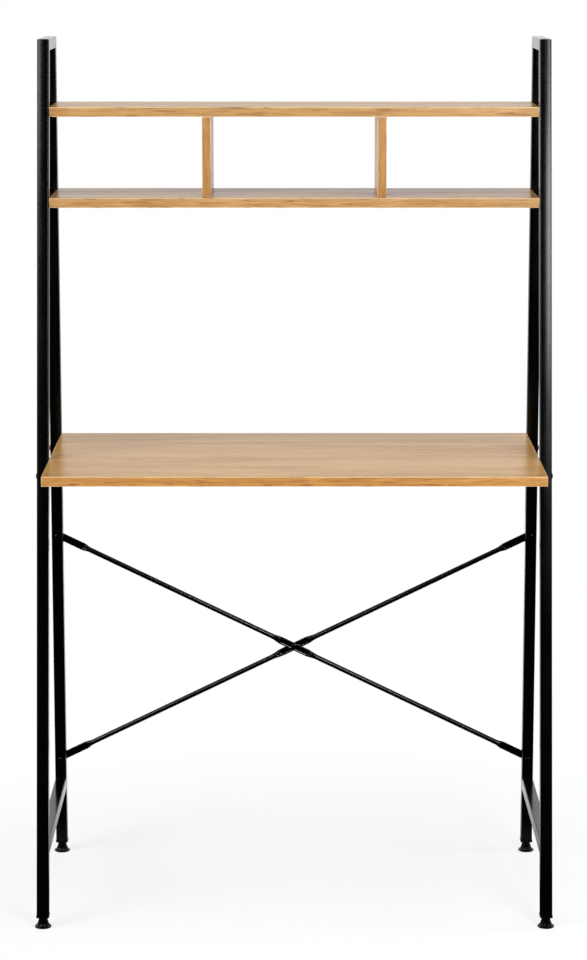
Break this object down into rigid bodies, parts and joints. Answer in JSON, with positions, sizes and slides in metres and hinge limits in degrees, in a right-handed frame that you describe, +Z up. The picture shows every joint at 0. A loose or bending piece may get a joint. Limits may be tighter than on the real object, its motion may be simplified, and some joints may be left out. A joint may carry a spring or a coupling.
{
  "type": "desk hutch",
  "caption": "Ladder desk with a shelf hutch: leaning steel side frames, wood-look desk and divided shelves, cross brace and screw-in levelling feet.",
  "frame": {"origin": "on the floor, under the middle of the whole object's box", "axes": "+X to the user's right, +Y to the rear towards the upright legs, +Z up"},
  "size_m": [0.8676, 0.4594, 1.459],
  "materials": {
    "oak_foil": "satin golden oak foil on particle board",
    "oak_edge": "satin golden oak edge band",
    "black_frame": "satin black powder coat",
    "black_steel": "black zinc fasteners",
    "zinc_steel": "bright zinc",
    "black_plastic": "moulded black polypropylene",
    "beech": "plain beech"
  },
  "bodies": {
    "frame": {"brace_centre_bolt": "black_steel", "brace_centre_nut": "zinc_steel", "brace_end_bolts": "black_steel", "brace_end_nuts": "zinc_steel", "desk_board": "oak_foil", "desk_board_screws": "zinc_steel", "desk_edge_bands": "oak_edge", "desk_rail_bolts": "black_steel", "desk_rail_nuts": "zinc_steel", "divider_dowels": "beech", "divider_screws": "zinc_steel", "falling_brace": "black_frame", "front_left_insert": "black_plastic", "front_right_insert": "black_plastic", "left_desk_rail": "black_frame", "left_divider": "oak_foil", "left_divider_edge_bands": "oak_edge", "left_front_leg": "black_frame", "left_rear_leg": "black_frame", "left_stretcher": "black_frame", "left_top_bar": "black_frame", "lower_shelf_board": "oak_foil", "lower_shelf_edge_bands": "oak_edge", "rear_left_insert": "black_plastic", "rear_right_insert": "black_plastic", "right_desk_rail": "black_frame", "right_divider": "oak_foil", "right_divider_edge_bands": "oak_edge", "right_front_leg": "black_frame", "right_rear_leg": "black_frame", "right_stretcher": "black_frame", "right_top_bar": "black_frame", "rising_brace": "black_frame", "shelf_barrel_nuts": "zinc_steel", "shelf_bolts": "black_steel", "upper_shelf_board": "oak_foil", "upper_shelf_edge_bands": "oak_edge"},
    "front_left_stud": {"front_left_stud": "zinc_steel"},
    "front_left_foot": {"front_left_foot": "black_plastic"},
    "front_right_stud": {"front_right_stud": "zinc_steel"},
    "front_right_foot": {"front_right_foot": "black_plastic"},
    "rear_left_stud": {"rear_left_stud": "zinc_steel"},
    "rear_left_foot": {"rear_left_foot": "black_plastic"},
    "rear_right_stud": {"rear_right_stud": "zinc_steel"},
    "rear_right_foot": {"rear_right_foot": "black_plastic"}
  },
  "joints": [
    {"name": "front_left_height", "type": "slide", "parent": "frame", "child": "front_left_stud", "axis": [0, 0, -1], "range_m": [0, 0.01]},
    {"name": "front_left_turn", "type": "hinge", "parent": "front_left_stud", "child": "front_left_foot", "pos_m": [-0.42, -0.20374, 0], "axis": [0, 0, -1], "range_deg": [0, 3600]},
    {"name": "front_right_height", "type": "slide", "parent": "frame", "child": "front_right_stud", "axis": [0, 0, -1], "range_m": [0, 0.01]},
    {"name": "front_right_turn", "type": "hinge", "parent": "front_right_stud", "child": "front_right_foot", "pos_m": [0.42, -0.20374, 0], "axis": [0, 0, -1], "range_deg": [0, 3600]},
    {"name": "rear_left_height", "type": "slide", "parent": "frame", "child": "rear_left_stud", "axis": [0, 0, -1], "range_m": [0, 0.01]},
    {"name": "rear_left_turn", "type": "hinge", "parent": "rear_left_stud", "child": "rear_left_foot", "pos_m": [-0.42, 0.2113, 0], "axis": [0, 0, -1], "range_deg": [0, 3600]},
    {"name": "rear_right_height", "type": "slide", "parent": "frame", "child": "rear_right_stud", "axis": [0, 0, -1], "range_m": [0, 0.01]},
    {"name": "rear_right_turn", "type": "hinge", "parent": "rear_right_stud", "child": "rear_right_foot", "pos_m": [0.42, 0.2113, 0], "axis": [0, 0, -1], "range_deg": [0, 3600]}
  ],
  "couplings": [
    {"joint": "front_left_turn", "follows": "front_left_height", "rad_per_m": 6283.2},
    {"joint": "front_right_turn", "follows": "front_right_height", "rad_per_m": 6283.2},
    {"joint": "rear_left_turn", "follows": "rear_left_height", "rad_per_m": 6283.2},
    {"joint": "rear_right_turn", "follows": "rear_right_height", "rad_per_m": 6283.2}
  ]
}
